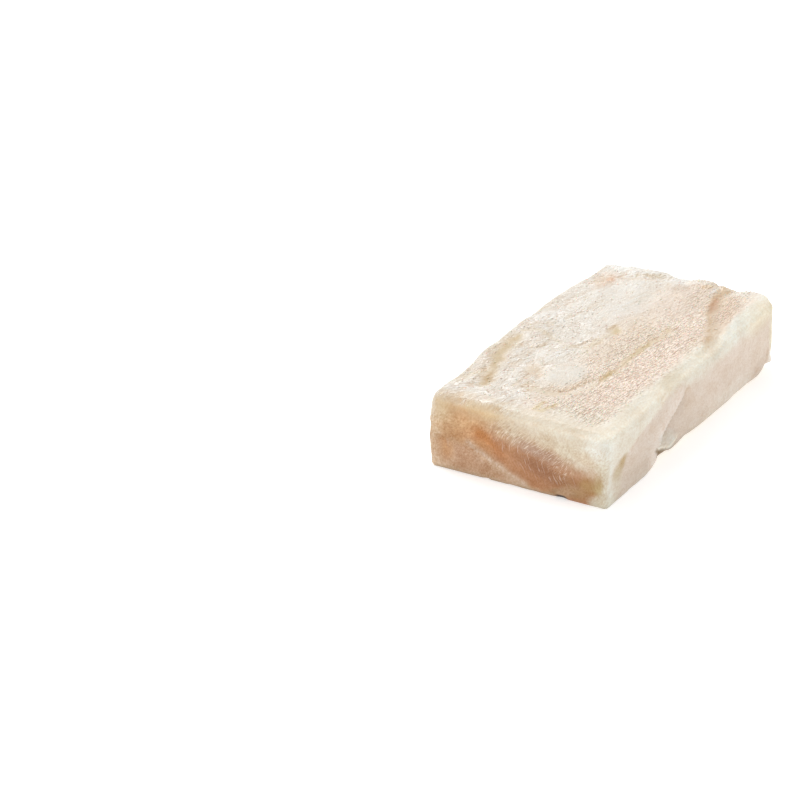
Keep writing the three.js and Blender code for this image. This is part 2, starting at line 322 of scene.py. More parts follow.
def local_rounding(x, y, z):
    """Radii of the rounding at a point of the plain box, along x, y and z."""
    far = smooth(-HALF_LENGTH, HALF_LENGTH, x)
    left = smooth(-HALF_WIDTH, HALF_WIDTH, y)
    upright = blend_corners(CORNER_RADIUS, far, left)
    high = smooth(THICKNESS - TOP_ZONE, THICKNESS, z)
    low = 1 - smooth(0, BASE_ZONE, z)
    end = [np.where(x < 0, *pair) for pair in zip(TOP_ROUNDING["near_end"], TOP_ROUNDING["far_end"])]
    wall = [np.where(y < 0, *pair) for pair in zip(TOP_ROUNDING["right_wall"], TOP_ROUNDING["left_wall"])]
    on_end = smooth(0.75, 1, np.abs(x) / HALF_LENGTH)
    on_side = smooth(0.7, 1, np.abs(y) / HALF_WIDTH) + 1e-6
    down = (on_side * wall[1] + on_end * end[1]) / (on_end + on_side)
    at_base = np.maximum(BASE_ROUNDING[0], upright * BASE_CORNER_SHARE)
    across = [upright * (1 - high - low) + top * high + at_base * low for top in (end[0], wall[0])]
    return np.stack([*across, np.where(z > THICKNESS / 2, down, BASE_ROUNDING[1])], 1)


def round_box(box_points):
    """The points of the plain box moved onto its rounded form, and the directions that they face."""
    radii = local_rounding(*box_points.T)
    low = radii - np.array([HALF_LENGTH, HALF_WIDTH, BASE_ALLOWANCE])
    high = np.array([HALF_LENGTH, HALF_WIDTH, THICKNESS]) - radii
    core = np.clip(box_points, low, high)
    out = (box_points - core) / radii
    out /= np.linalg.norm(out, axis=1)[:, None]
    return core + radii * out, out


def corner_shift(point):
    far = np.clip(point[:, 0] / LENGTH + 0.5, 0, 1)
    left = np.clip(point[:, 1] / WIDTH + 0.5, 0, 1)
    shift = np.stack([blend_corners(CORNER_SHIFT[axis], far, left) for axis in "xyz"], 1)
    shift[:, 2] *= smooth(0, THICKNESS, point[:, 2])
    return shift


def lift_under_right_wall(point):
    inward = 1 - smooth(0.5, LIFT_REACH_IN, point[:, 1] + HALF_WIDTH)
    upward = 1 - smooth(0, LIFT_REACH_UP, point[:, 2])
    lift = 0.0
    for at, height, before, after in LIFTS:
        lift = lift + height * bell(point[:, 0] - at, np.where(point[:, 0] < at, before, after))
    return lift * inward * upward


def face_shares(out):
    """How much a point belongs to the top and to each of the four walls."""
    return {
        "top": smooth(-0.1, 0.65, out[:, 2]),
        "right": smooth(0.1, 0.8, -out[:, 1]),
        "left": smooth(0.1, 0.8, out[:, 1]),
        "near": smooth(0.1, 0.8, -out[:, 0]),
        "far": smooth(0.1, 0.8, out[:, 0]),
    }


def shape_points(box_points):
    point, out = round_box(box_points)
    x, y, z = point.T
    share = face_shares(out)
    lengthwise = np.cos(math.pi * x / (LENGTH * 1.05))
    crosswise = np.cos(math.pi * y / (WIDTH * 1.1))
    upright = np.sin(math.pi * np.clip(z, 0, THICKNESS) / THICKNESS)
    rise = share["top"] * top_relief(x, y)
    rise = rise + share["right"] * right_wall_relief(x, z)
    rise = rise + share["near"] * (seam_relief(y, z, END_GROOVE) + END_BULGE * upright)
    rise = rise + share["far"] * (seam_relief(y, z, FAR_GROOVE) + BACK_BULGE * upright * crosswise)
    left = seam_relief(x, z, LEFT_WALL_GROOVE) + LEFT_BOW * lengthwise + LEFT_BULGE * upright
    rise = rise + share["left"] * left
    rise = rise + unevenness(point, share["top"])
    point = point + out * (rise * (1 - smooth(0.2, 0.8, -out[:, 2])))[:, None]
    point = point + corner_shift(point)
    point[:, 2] += lift_under_right_wall(point)
    at, height, reach = END_GAP
    gap = height * bell(point[:, 1] - at, reach) * smooth(-48, -51, x)
    ragged = BASE_RAGGEDNESS * np.clip(lumps(x / 2.4, y / 2.4, z * 0, 97), 0, 1)
    point[:, 2] += (gap + ragged) * (1 - smooth(0, 2.0, z))
    point[:, 2] = np.maximum(point[:, 2], 0)
    return point, out


# The surface grid


def loaf_grid():
    """Points of the plain box's top, walls and base rim, and the faces between them, as one closed skin."""
    xs = np.linspace(-HALF_LENGTH, HALF_LENGTH, CELLS_LONG + 1)
    ys = np.linspace(-HALF_WIDTH, HALF_WIDTH, CELLS_WIDE + 1)
    zs = np.linspace(THICKNESS, -BASE_ALLOWANCE, CELLS_HIGH + 1)
    top = np.array([(x, y, THICKNESS) for y in ys for x in xs])
    row = CELLS_LONG + 1
    rim = list(range(CELLS_LONG))
    rim += [CELLS_LONG + j * row for j in range(CELLS_WIDE)]
    rim += [CELLS_WIDE * row + CELLS_LONG - i for i in range(CELLS_LONG)]
    rim += [(CELLS_WIDE - j) * row for j in range(CELLS_WIDE)]
    faces = [
        (j * row + i, j * row + i + 1, (j + 1) * row + i + 1, (j + 1) * row + i)
        for j in range(CELLS_WIDE)
        for i in range(CELLS_LONG)
    ]
    points = [top]
    ring = rim
    count = len(top)
    for z in zs[1:]:
        points.append(np.column_stack([top[rim, :2], np.full(len(rim), z)]))
        lower = list(range(count, count + len(rim)))
        faces += ring_faces(ring, lower)
        ring = lower
        count += len(rim)
    return np.concatenate(points), faces, ring


def ring_faces(upper, lower):
    following = upper[1:] + upper[:1]
    lower_following = lower[1:] + lower[:1]
    return list(zip(upper, lower, lower_following, following))


def base_rings(points, faces, ring):
    """Closes the base with rings that run inwards from the rim and one flat face."""
    rim = points[ring]
    made = [points]
    count = len(points)
    for inset in BASE_RINGS:
        inner = rim * np.array([1 - inset / HALF_LENGTH, 1 - inset / HALF_WIDTH, 0])
        inner[:, 2] = lift_under_right_wall(inner)
        lower = list(range(count, count + len(ring)))
        faces += ring_faces(ring, lower)
        ring = lower
        made.append(inner)
        count += len(ring)
    faces.append(tuple(reversed(ring)))
    return np.concatenate(made)


# Colours of the flesh


def linear(colour):
    """A colour as #RRGGBB in linear light."""
    part = np.array([int(colour[i : i + 2], 16) for i in (1, 3, 5)]) / 255
    return np.where(part <= 0.04045, part / 12.92, ((part + 0.055) / 1.055) ** 2.4)


def stripe(a, b, route, half_width, fade_length=4.0):
    distance, _, fade = near_route(a, b, route, fade_length)
    return bell(distance, half_width) * fade


def signed(a, b, route):
    distance, side, _ = near_route(a, b, route)
    return distance * side


def right_lip(a, b, route, half_width):
    """The narrow ridge beside a groove, on its right-hand side."""
    distance, side, fade = near_route(a, b, route)
    return bell(distance - 1.9 * half_width, 0.5 * half_width) * fade * (side == 1)


class Coat:
    """The colour of one face, laid on in layers that are drawn on its two coordinates."""

    def __init__(self, a, b, colour):
        self.a = a
        self.b = b
        self.colour = np.tile(linear(colour), (len(a), 1))

    def tint(self, colour, share):
        """Moves the coat towards a colour by a share at each point."""
        self.colour = self.colour + (linear(colour) - self.colour) * np.clip(share, 0, 1)[:, None]

    def slope(self, colour, share, *slopes):
        """Tints by a share times smooth's value for each slope: its start, its end and what it runs along."""
        for slope in slopes:
            share = share * smooth(*slope)
        self.tint(colour, share)

    def spot(self, colour, share, at, reach, turn=0, soft=SOFT):
        self.tint(colour, share * ellipse(self.a, self.b, at, reach, turn, soft))

    def line(self, colour, share, route, half_width, fade_length=4.0):
        self.tint(colour, share * stripe(self.a, self.b, route, half_width, fade_length))


def paint_top(x, y, z):
    x, y = top_outline(x, y)
    fine = lumps(x / 3.4, y / 1.9, z, 30) + 0.6 * lumps(x / 1.7, y / 1.1, z, 31)
    broad = lumps(x / 15, y / 8, z, 32)
    left = smooth(-3, 9, y + 6 * broad)
    width = 1 + 0.9 * lumps(x / 4, y / 4, z * 0, 35)
    coat = Coat(x, y, "#F5E7D7")
    coat.tint("#EAE2D5", left)
    coat.slope("#EBDACB", 0.5, (0.05, 0.5, fine))
    coat.tint("#F6F3EE", 0.5 * smooth(0.05, 0.5, -fine) * left)
    coat.spot("#F0EAE0", 0.7, (28, 13), (20, 11), 5, FULL)
    coat.spot("#EADACA", 0.6, (36, -5), (14, 7), 5, FULL)
    coat.spot("#E4D9CC", 0.6, (24, 2.8), (9, 3.4), 4, FIRM)
    coat.spot("#D9C8B6", 0.7, (45, -1.2), (4.5, 3.2))
    coat.spot("#E6DCCE", 0.6, (7, 7.5), (5, 2.6), 15, FIRM)
    coat.spot("#E8D8C4", 0.6, (4, -2), (20, 7), 0, FULL)
    coat.spot("#F1E9D8", 0.7, (-44, -14), (9, 10), 0, FULL)
    coat.spot("#E0D3C0", 0.6, (-33, 2), (3.4, 5.5), 0, FIRM)
    coat.spot("#E6DDD0", 0.5, (22, 21.5), (9, 3.2), 0, FIRM)
    coat.spot("#FAE8D8", 0.7, (-10, -16.5), (34, 7), -3, FULL)
    coat.spot("#E8E1D5", 0.9, (-24.5, 1.2), (7, 6), 8, (0.7, 1.1))
    coat.spot("#E4D2BA", 0.75, (-26, 9.6), (5.2, 2.4), 48)
    coat.line("#E4D3BB", 0.65, PLATEAU_SIDE, 1.7 * width)
    coat.line("#E6D6BF", 0.85, PLATEAU_FOOT, 2.3 * width)
    for scratch in END_SCRATCHES:
        coat.line("#DEC896", 0.7, scratch, 0.7 * width, 2.0)
    coat.line("#E4D6BE", 0.7, CROSS_TRACE, 0.9 * width)
    coat.line("#D2BC98", 0.95, LEFT_GROOVE, 2.1 * width)
    coat.spot("#C8AC86", 0.85, (-34.4, 20.2), (5.8, 2.2), 20)
    coat.line("#E6D8BF", 0.7, GROOVE_FORK, 1.2 * width)
    coat.spot("#F1E6D8", 0.8, (-27.5, -5.5), (5.5, 2.6), 8)
    coat.spot("#F8F5EF", 0.7, (5.5, 22.6), (6.5, 3.2), -20)
    coat.spot("#F6F1E8", 0.6, (-12, 15.8), (4.2, 2.6), -10)
    # Painted highlight on the narrow ridge right of the middle seam
    coat.tint("#FBEFE0", 0.6 * right_lip(x, y, MIDDLE_SEAM, 1.0))
    broken = np.clip(0.7 + 1.2 * lumps(x / 4.5, y / 1.5, z, 36), 0, 1)
    coat.line("#DAC59B", 0.9 * broken, MIDDLE_SEAM, 1.4 * width)
    coat.spot("#D2BD96", 0.85, (9, 2.1), (3.6, 1.9), 25, FAINT)
    coat.spot("#E0CFB2", 0.5, (-2.5, 3.8), (3.8, 1.8), 10, FAINT)
    coat.spot("#E6CDB4", 0.9, (38, 21.2), (8.5, 3.6), 8, (0.2, 1.2))
    coat.spot("#E4B592", 0.9, (41.2, 20.0), (3.0, 1.7), 20, FAINT)
    coat.line("#E0CCB4", 0.5, CORNER_CREASE, 1.0)
    border, soft = cream_border(x)
    coat.slope("#F0E9D9", 0.9, (border + soft, border - soft, y))
    coat.spot("#E0D2B8", 0.7, (-10, -25.5), (7, 2.0), 0, FULL)
    coat.slope("#EBDFCA", 0.8, (-46, -51, x + 2 * broad))
    coat.slope("#E3D1B9", 0.9, (-46.5, -50, x + broad), (4, 16, y))
    coat.slope("#F2F1EB", 0.85, (45.5, 49, x + 2 * broad), (-6, 0, y))
    coat.spot("#E6D1BC", 0.85, (36, -20), (13, 4.2), 12, FULL)
    coat.slope("#F5EDE1", 0.9, (47, 49.5, x + broad), (2, -4, y))
    coat.spot("#E9E9E0", 0.85, (30, -27.0), (18, 3.2), 2, FULL)
    coat.spot("#DDCDB2", 0.6, (9, -26.4), (5, 1.8), 0, HAZY)
    coat.line("#E1CCB2", 0.85, BACK_GROOVE, 2.1 * width)
    coat.spot("#D1AD90", 0.9, (39, -15.2), (8.5, 1.7), 18, (0.2, 1.2))
    coat.spot("#F3EBE2", 0.8, (47.5, -9.6), (4.0, 1.7), 12, (0.3, 1.2))
    return coat.colour


# Upper and lower borders of the brown band on the near end wall, and the pale streak below it
BAND_TOP = ((30, 20), (20.7, 20), (10.7, 18.6), (-0.2, 15.2), (-8.5, 14), (-18.5, 10.8), (-30, 9))
BAND_FOOT = ((30, 12), (19, 11), (10.7, 7.2), (0.7, 3), (-5, 0))
BAND_FRINGE = ((7, 17), (0, 15.6), (-8, 13), (-15, 10))
PALE_STREAK = ((16, 10.4), (11, 7.4), (7, 5.4), (2, 3.6), (-2, 1.8))


def paint_near_end(x, y, z):
    straight_y, straight_z = y, z
    x, y, z = wobble(x, y, z, (5, 0.8, 40), (1.6, 0.4, 43))
    above_top = signed(y, z, BAND_TOP)
    above_foot = signed(y, z, BAND_FOOT)
    cloud = lumps(x / 5, y / 5, z / 2.6, 42)
    fibre = lumps(x, (y + 0.7 * z) / 0.55, z / 3.2, 44)
    fleck = lumps(x, y / 1.3, z / 0.8, 45)
    band = smooth(3.6, -4.4, above_top + 2.0 * cloud + 2.0 * fibre)
    coat = Coat(y, z, "#DECAAC")
    coat.slope("#E4D7C0", 1, (-6, -20, y))
    coat.slope("#DCC09A", 0.9, (0, 9, y + cloud))
    coat.slope("#F0E5D2", 0.9, (15.5, 21.0, z + 0.8 * cloud), (8, -4, y + cloud))
    coat.slope("#E2C59A", 0.9, (17.5, 21.5, z + 0.6 * cloud), (4, 10, y))
    coat.slope("#BF8B64", band, (-1.5, 1.5, above_foot))
    coat.slope("#E2B98C", 0.9 * band, (7, 14, y), (22, 19, z + 0.6 * cloud))
    coat.slope("#CC9B70", 0.8 * band, (7, 12, y), (24, 18, y), (16, 12.5, z))
    coat.spot("#A27252", 0.85 * band, (-8, 7.4), (11, 4), 20, FAINT)
    coat.spot("#B4907A", 0.8, (-6, 13.2), (8.5, 2.3), 16, HAZY)
    coat.spot("#BF8150", 0.9, (8.6, 11.8), (5.6, 2.2), 38, (0.1, 1.4))
    coat.spot("#C48550", 0.95, (12, 13.7), (4.0, 2.6), 24, (0.1, 1.4))
    coat.spot("#B57C4A", 0.6, (11.6, 10.2), (3.6, 1.7), 36, HAZY)
    coat.slope("#C09A7C", 0.85, (1.0, -2.2, above_foot))
    coat.slope("#CDAA84", 0.7, (17, 24, y), (6, 10, z))
    coat.spot("#C08E62", 0.9, (23.5, 7.4), (3.6, 4.2))
    coat.spot("#CFA98A", 0.4, (17, 7.2), (2.6, 2.4), 20)
    coat.spot("#B98A5C", 0.55, (20.6, 12.7), (3.4, 2.4), 0, HAZY)
    coat.spot("#D2B090", 0.6, (2.9, 14.4), (3.0, 1.2), 16)
    coat.slope("#E2CAA4", 0.8, (19, 25, y), (14, 19, z))
    coat.slope("#E0CCB0", 0.45, (23, 27, y + cloud))
    coat.slope("#CFAF94", 0.5, (0.5, -1.5, above_foot), (0.1, 0.4, fleck))
    coat.line("#CDAD92", 0.85, PALE_STREAK, 1.2)
    coat.slope("#E4CEB8", 0.7 * stripe(y, z, PALE_STREAK, 0.4), (-0.3, 0.2, fibre))
    coat.slope("#CDB294", 0.7, (2.4, 0.4, z + fleck), (-16, -9, y))
    coat.spot("#A67954", 0.75, (-16.5, 5.4), (6.5, 2.8), 8)
    coat.spot("#C2A17F", 0.6, (-15, 3.0), (5.4, 1.2), -24, (0.1, 1.5))
    coat.spot("#BC9C74", 0.7, (-19, 2.6), (4, 2.2), 0, HAZY)
    coat.spot("#B3905F", 0.75, (-22, 6.0), (3.2, 3.0))
    coat.spot("#C2AC80", 0.85, (-25.4, 5.6), (2.6, 4.4))
    coat.spot("#AC9472", 0.5, (-13, 1.9), (5, 1.3), 0, FULL)
    coat.spot("#D3B092", 0.6, (5, 1.4), (4.5, 1.4), 8, (0.3, 1.4))
    coat.spot("#CBA888", 0.8, (-14.8, 1.8), (2.8, 1.4), -14, (0.3, 1.4))
    coat.spot("#E2D2BA", 0.7, (-8, 17.4), (5, 1.8), 14)
    coat.spot("#E0CFB4", 0.7, (2, 17.6), (4, 1.6), 10)
    corner = y + 0.6 * cloud - 2.4 * smooth(4.5, 2, z) + 2.2 * bell(z - 7.4, 2.6)
    coat.slope("#E2D8C2", 0.9, (-23.0, -26.2, corner))
    coat.slope("#F3EEE2", 0.9, (11, 18, z), (-18, -25, y))
    coat.spot("#DFC8AA", 0.6, (-21, 14.3), (4.4, 2.2), 12)
    coat.spot("#DFCCB2", 0.45, (0.5, 19.7), (5, 1.5), 8)
    coat.slope("#E2D8C2", 0.7, (4, 1, z), (-22, -25.5, y))
    # Painted shadow along the foot of the wall where it meets the table, and a painted dark shadow in the gap
    # under the near end
    contact_shade = smooth(0.9, 0.1, straight_z) * smooth(-14, -11, straight_y)
    coat.tint("#A88A66", 0.6 * contact_shade)
    coat.tint("#3C240C", ellipse(straight_y, straight_z, (-13.4, 0.5), (2.1, 0.8), 0, (0.6, 1.1)))
    return coat.colour


# Routes of the lens's lower rim, which gets a painted highlight, and of the gap under it, which gets a
# painted shadow
LENS_RIM_HIGHLIGHT = ((-21.2, 5.4), (-18.6, 4.6), (-16, 3.8), (-13.4, 2.7), (-10.8, 2.8), (-9.2, 4.2))
LENS_GAP_SHADOW = ((-23.1, 5.4), (-21.1, 4.2), (-18.5, 3.3), (-15.9, 2.3), (-12, 1.2))
CREAM_EDGE = (
    (-56, 7.4),
    (-50.7, 9.9),
    (-46.3, 12),
    (-39.4, 12.8),
    (-33.1, 14.5),
    (-27.6, 16.2),
    (-14, 18.4),
    (20, 17.4),
    (56, 18.2),
)


def paint_right_wall(x, y, z):
    x, y, z = wobble(x, y, z, (5, 0.6, 50), (1.5, 0.25, 54))
    below_cream = signed(x, z, CREAM_EDGE)
    distance, side, fade = near_route(x, z, FLAP_EDGE, FLAP_FADE)
    behind = np.where(side < 0, distance, 99)
    cloud = lumps(x / 9, y, z / 5, 51)
    stripes = lumps(x / 1.5, y, z / 14, 52) + 0.5 * lumps(x / 0.8, y, z / 9, 53)
    coat = Coat(x, z, "#E8DFCD")
    coat.slope("#EAE4D4", 0.8, (-10, 5, x), (17, 19, z))
    blurred = smooth(-28, -12, x)
    soft = mix(0.7, 2.3, blurred)
    coat.slope("#DFCDBB", 1, (-soft, soft, below_cream + mix(0.6, 3, blurred) * cloud))
    coat.slope("#D6C5B3", 0.7, (10, 3, z), (-24, -30, x))
    coat.spot("#E6D3C1", 0.6, (30, 10), (28, 8), 0, FULL)
    coat.slope("#ECDFD0", 0.35, (0.05, 0.5, stripes), (14, 24, x))
    coat.slope("#DCC8B4", 0.35, (0.05, 0.5, -stripes), (14, 24, x))
    coat.spot("#E4DBC8", 0.8, (-47.6, 5.2), (4.4, 4.4))
    coat.spot("#CDBA95", 0.75, (-45.4, 9.0), (4.0, 3.0), 30, FAINT)
    coat.spot("#BE9F70", 0.95, (-42.6, 11.0), (3.2, 2.3), 30, FAINT)
    on_flap = side > 0
    # A paler band on the flap's front with a painted highlight along its edge; behind the edge, painted shade
    # from the flap, darkest in a painted shadow line along the edge
    coat.tint("#EFE0D2", 0.75 * smooth(0, 1, distance) * smooth(6, 1, distance) * on_flap * fade)
    coat.tint("#F0E2D6", 0.8 * bell(distance - 0.5, 0.5) * on_flap * fade)
    coat.tint("#CDB8A4", 0.85 * smooth(9, 0, behind) * fade)
    coat.tint("#8C765F", 0.95 * bell(behind - 0.3, 0.6) * fade)
    coat.spot("#D2BCA4", 0.8, (-4.4, 16.4), (2.0, 1.6), 30, FAINT)
    coat.spot("#DAD0C0", 0.9, (-16.0, 5.8), (7.4, 2.8), -16)
    # Painted shadow in the gap under the lens, and a painted highlight along its lower rim
    coat.line("#9A8260", 0.95, LENS_GAP_SHADOW, 0.8, 2.0)
    coat.spot("#D8D8CA", 0.6, (-12.2, 3.2), (2.4, 1.3), 0, FULL)
    coat.line("#F8F0DE", 0.95, LENS_RIM_HIGHLIGHT, 0.42, 1.5)
    coat.slope("#E2D3BC", 0.6, (3.5, 1, z), (-8, 0, x), (30, 10, x))
    coat.spot("#EBDDCC", 0.8, (24, 3.6), (20, 3.6), 0, (0.3, 1.2))
    coat.spot("#D4BDA8", 0.7, (44, 4.5), (5, 2.4), 20, FULL)
    coat.slope("#EADCC0", 0.8, (30, 42, x), (14, 19, z))
    coat.slope("#ECE4C4", 0.8, (49.5, 51.5, x), (4, 8, z))
    coat.spot("#DAC6B0", 0.4, (44, 12.4), (9, 7), 10, FULL)
    coat.spot("#C7AD92", 0.55, (48.6, 5.6), (1.0, 3.2), -20)
    coat.spot("#F0EBDF", 0.8, (51.5, 4.6), (1.8, 2.6), 0, FULL)
    coat.slope("#EAE5D6", 0.85, (-47.2, -50.6, x + 1.5 * cloud))
    coat.slope("#DCD3BC", 0.6, (5, 1, z), (-44, -50, x))
    return coat.colour


def paint_left_wall(x, y, z):
    x, y, z = wobble(x, y, z, (7, 1.2, 60), (1.8, 0.4, 63))
    cloud = lumps(x / 12, y, z / 5, 61)
    fibre = lumps((x + 0.8 * z) / 0.7, y, z / 3.2, 62)
    below = -signed(x, z, LEFT_SEAM)
    band = smooth(-3.0, 1.6, below + 1.4 * fibre + 1.6 * cloud) * smooth(5.5, 1.5, below + 2 * cloud)
    coat = Coat(x, z, "#E0CFB6")
    coat.slope("#D6BA9A", 0.8, (-3, 2.5, below + 3 * cloud))
    coat.tint("#BE9874", 0.85 * band)
    coat.line("#AE8564", 0.5, LEFT_SEAM, 1.2)
    coat.tint("#E0C8AC", 0.6 * bell(below - 5.5 + 2 * cloud, 1.1))
    coat.slope("#CBA585", 0.6, (-30, -50, x), (16, 10, z))
    coat.slope("#DCC6A8", 0.8, (4, 1, z))
    coat.slope("#EFE9DE", 1, (14, 19, z + cloud))
    return coat.colour


def paint_far_end(x, y, z):
    x, y, z = wobble(x, y, z, (6, 1.2, 70), (1.8, 0.4, 73))
    cloud = lumps(x / 5, y / 6, z / 3, 71)
    fibre = lumps(x, (y - 0.7 * z) / 0.6, z / 3.2, 72)
    above = signed(y, z, BACK_SEAM)
    band = smooth(2.4, -2.0, above + 1.4 * fibre + 1.6 * cloud) * smooth(-6, -2.5, above + 2 * cloud)
    coat = Coat(y, z, "#E3D4BC")
    coat.slope("#D9BF9F", 0.7, (1, -4, above + 2 * cloud))
    coat.tint("#BF9670", band * np.clip(0.65 + 1.3 * cloud + 0.5 * fibre, 0, 0.9))
    coat.tint("#B98E68", 0.6 * ellipse(y, z, (-13, 7), (9, 3.4), 16, FAINT) * (0.7 + fibre))
    coat.slope("#E9E2D4", 1, (15, 20, z + cloud))
    coat.slope("#DDCBAF", 0.7, (4, 1, z))
    return coat.colour


PAINTERS = {
    "top": paint_top,
    "near": paint_near_end,
    "right": paint_right_wall,
    "left": paint_left_wall,
    "far": paint_far_end,
}
# What a white surface sends back of the light from above, from the table and from each lamp, and its
# sheen: the painters give colours as they look, and these turn them into colours of the flesh itself
SKY_LIGHT = 0.75
TABLE_LIGHT = 1.4
LAMP_LIGHT = (((0.32, 0.6, 0.733), 0.7), ((-0.573, -0.655, 0.491), 0.1))
LIGHT_TINT = (1.0, 0.985, 0.97)
FACE_SHEEN = 0.02
FLESH_BRIGHTEST = 0.93
UNDERSIDE = "#E6D6BE"


def light_on(out):
    up = out[:, 2]
    light = SKY_LIGHT * (1 + up) / 2 + TABLE_LIGHT * (1 - up) / 2
    for direction, share in LAMP_LIGHT:
        light = light + share * np.clip(out @ np.array(direction), 0, None)
    return light[:, None] * np.array(LIGHT_TINT)


def paint(point, out):
    """The flesh's colour at every point, blended from the faces that it belongs to."""
    share = face_shares(out)
    share["top"] = smooth(0.2, 0.85, out[:, 2])
    total = sum(share.values()) + 1e-6
    seen = sum(painter(*point.T) * (share[name] / total)[:, None] for name, painter in PAINTERS.items())
    flesh = (seen - FACE_SHEEN) / light_on(out)
    flesh = np.where((total > 0.01)[:, None], flesh, linear(UNDERSIDE))
    flesh = flesh * np.minimum(1, FLESH_BRIGHTEST / flesh.max(1))[:, None]
    return np.clip(flesh, 0.01, FLESH_BRIGHTEST)


# Node trees


class Value:
    """A socket of a node tree. A plain sign after it adds the maths node that works out the result."""

    def __init__(self, tree, socket):
        self.tree = tree
        self.socket = socket

    def maths(self, operation, *others):
        inputs = dict(enumerate((self, *others)))
        return add_node(self.tree, "ShaderNodeMath", inputs, operation=operation)

    def __add__(self, other):
        return self.maths("ADD", other)

    def __sub__(self, other):
        return self.maths("SUBTRACT", other)

    def __mul__(self, other):
        return self.maths("MULTIPLY", other)

    def __rtruediv__(self, number):
        return add_node(self.tree, "ShaderNodeMath", {0: number, 1: self}, operation="DIVIDE")

    def __abs__(self):
        return self.maths("ABSOLUTE")


def fill(node, inputs):
    """Sets a node's sockets, which go by name or place, or links the values of other nodes to them."""
    for key, value in inputs.items():
        if isinstance(value, Value):
            value.tree.links.new(value.socket, node.inputs[key])
        else:
            node.inputs[key].default_value = value


def add_node(tree, kind, inputs=None, output=0, **settings):
    """An output of a new node of that kind, with its settings made and its sockets filled."""
    node = tree.nodes.new(kind)
    for name, setting in settings.items():
        setattr(node, name, setting)
    fill(node, inputs or {})
    return Value(tree, node.outputs[output])


def vector_maths(operation, *vectors):
    inputs = dict(enumerate(vectors))
    return add_node(vectors[0].tree, "ShaderNodeVectorMath", inputs, operation=operation)


def scaled(vector, factor):
    return add_node(vector.tree, "ShaderNodeVectorMath", {0: vector, "Scale": factor}, operation="SCALE")


def rotated(vector, angle, axis="Z_AXIS"):
    inputs = {"Vector": vector, "Angle": angle}
    return add_node(vector.tree, "ShaderNodeVectorRotate", inputs, rotation_type=axis)


def combined(tree, x=0.0, y=0.0, z=0.0):
    return add_node(tree, "ShaderNodeCombineXYZ", {"X": x, "Y": y, "Z": z})


def noise(vector, inputs, output="Fac", **settings):
    return add_node(vector.tree, "ShaderNodeTexNoise", {"Vector": vector, **inputs}, output, **settings)


def wandering(place, scale):
    """A vector that wanders smoothly about zero from place to place."""
    colour = noise(place, {"Scale": scale, "Detail": 1.0}, "Color")
    return vector_maths("SUBTRACT", colour, (0.5, 0.5, 0.5))


def blend_value(factor, first, second):
    return add_node(factor.tree, "ShaderNodeMix", {0: factor, 2: first, 3: second})


# Geometry trees


def new_geometry_tree(name, inputs):
    """An empty geometry tree with named inputs, and the values that it is given, by name."""
    tree = bpy.data.node_groups.new(name, "GeometryNodeTree")
    for way in ("INPUT", "OUTPUT"):
        tree.interface.new_socket("Geometry", in_out=way, socket_type="NodeSocketGeometry")
    for label, value in inputs.items():
        kind = "NodeSocketInt" if isinstance(value, int) else "NodeSocketFloat"
        tree.interface.new_socket(label, in_out="INPUT", socket_type=kind).default_value = value
    outputs = tree.nodes.new("NodeGroupInput").outputs
    return tree, {label: Value(tree, outputs[label]) for label in ("Geometry", *inputs)}


def finish_geometry_tree(tree, geometry, material):
    real = add_node(tree, "GeometryNodeRealizeInstances", {"Geometry": geometry})
    smoothed = add_node(tree, "GeometryNodeSetShadeSmooth", {"Geometry": real})
    dressed = add_node(tree, "GeometryNodeSetMaterial", {"Geometry": smoothed, "Material": material})
    fill(tree.nodes.new("NodeGroupOutput"), {"Geometry": dressed})


def run_geometry_tree(piece, tree, inputs):
    """Gives a piece the tree's result as its own plain mesh."""
    modifier = piece.modifiers.new(tree.name, "NODES")
    modifier.node_group = tree
    for item in tree.interface.items_tree:
        if item.in_out == "INPUT" and item.name in inputs:
            modifier[item.identifier] = inputs[item.name]
    graph = bpy.context.evaluated_depsgraph_get()
    mesh = bpy.data.meshes.new_from_object(
        piece.evaluated_get(graph), preserve_all_data_layers=True, depsgraph=graph
    )
    piece.modifiers.remove(modifier)
    before = piece.data
    piece.data = mesh
    bpy.data.meshes.remove(before)
    mesh.name = piece.name


def named(tree, name, kind="FLOAT"):
    """The value of a named attribute in a geometry tree."""
    return add_node(tree, "GeometryNodeInputNamedAttribute", {"Name": name}, "Attribute", data_type=kind)


def stored(tree, geometry, name, value, kind="FLOAT"):
    inputs = {"Geometry": geometry, "Name": name, "Value": value}
    return add_node(tree, "GeometryNodeStoreNamedAttribute", inputs, data_type=kind, domain="POINT")


RELIEF = {
    "Grain Turn": math.radians(10),
    "Cross Turn": math.radians(42),
    "Grain Stretch": 0.26,
    "Wrinkle Size": 1.7 * MM,
    "Wrinkle Height": 0.1 * MM,
    "Crumple Stretch": 0.4,
    "Crumple Size": 3.4 * MM,
    "Crumple Height": 0.55 * MM,
    "Wall Grain Height": 0.4 * MM,
    "Seed": 7.0,
}


